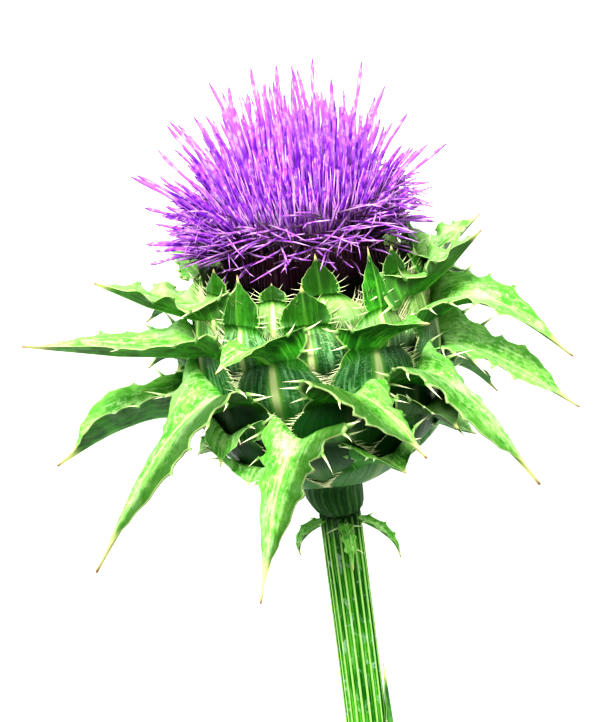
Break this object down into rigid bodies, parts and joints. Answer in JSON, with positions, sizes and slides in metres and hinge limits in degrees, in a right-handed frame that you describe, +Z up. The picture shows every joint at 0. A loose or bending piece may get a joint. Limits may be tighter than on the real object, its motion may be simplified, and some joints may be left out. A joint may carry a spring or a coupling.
{
  "type": "milk thistle flower",
  "caption": "Cut milk thistle flower head on a ribbed stem: a globe of spiny bracts under a tuft of purple florets, lying down.",
  "frame": {"origin": "middle of the object's footprint, on the surface it lies on", "axes": "+Y from the cut end of the stem towards the florets, +Z up from the surface, +X to the flower's right as seen from above"},
  "size_m": [0.0882, 0.148, 0.0707],
  "materials": {
    "bract_green": "satin",
    "head_green": "matte",
    "stem_green": "satin",
    "floret_purple": "matte"
  },
  "bodies": {
    "root": {"basal_bract_1": "bract_green", "basal_bract_2": "bract_green", "basal_bract_3": "bract_green", "basal_bract_4": "bract_green", "basal_bract_5": "bract_green", "basal_bract_6": "bract_green", "basal_bract_7": "bract_green", "crown_bract_1": "bract_green", "crown_bract_2": "bract_green", "crown_bract_3": "bract_green", "crown_bract_4": "bract_green", "crown_bract_5": "bract_green", "crown_bract_6": "bract_green", "crown_bract_7": "bract_green", "crown_bract_8": "bract_green", "crown_bract_9": "bract_green", "floret_bundle_1": "floret_purple", "floret_bundle_2": "floret_purple", "floret_bundle_3": "floret_purple", "floret_bundle_4": "floret_purple", "floret_bundle_5": "floret_purple", "floret_bundle_middle": "floret_purple", "inner_bract_1": "bract_green", "inner_bract_2": "bract_green", "inner_bract_3": "bract_green", "inner_bract_4": "bract_green", "inner_bract_5": "bract_green", "inner_bract_6": "bract_green", "inner_bract_7": "bract_green", "inner_bract_8": "bract_green", "lower_bract_1": "bract_green", "lower_bract_2": "bract_green", "lower_bract_3": "bract_green", "lower_bract_4": "bract_green", "lower_bract_5": "bract_green", "lower_bract_6": "bract_green", "lower_bract_7": "bract_green", "lower_bract_8": "bract_green", "middle_bract_1": "bract_green", "middle_bract_2": "bract_green", "middle_bract_3": "bract_green", "middle_bract_4": "bract_green", "middle_bract_5": "bract_green", "middle_bract_6": "bract_green", "middle_bract_7": "bract_green", "middle_bract_8": "bract_green", "neck_leaflet_1": "bract_green", "neck_leaflet_2": "bract_green", "neck_leaflet_3": "bract_green", "receptacle": "head_green", "stem": "stem_green", "stem_leaf": "bract_green", "upper_bract_1": "bract_green", "upper_bract_2": "bract_green", "upper_bract_3": "bract_green", "upper_bract_4": "bract_green", "upper_bract_5": "bract_green", "upper_bract_6": "bract_green", "upper_bract_7": "bract_green", "upper_bract_8": "bract_green"}
  },
  "joints": []
}
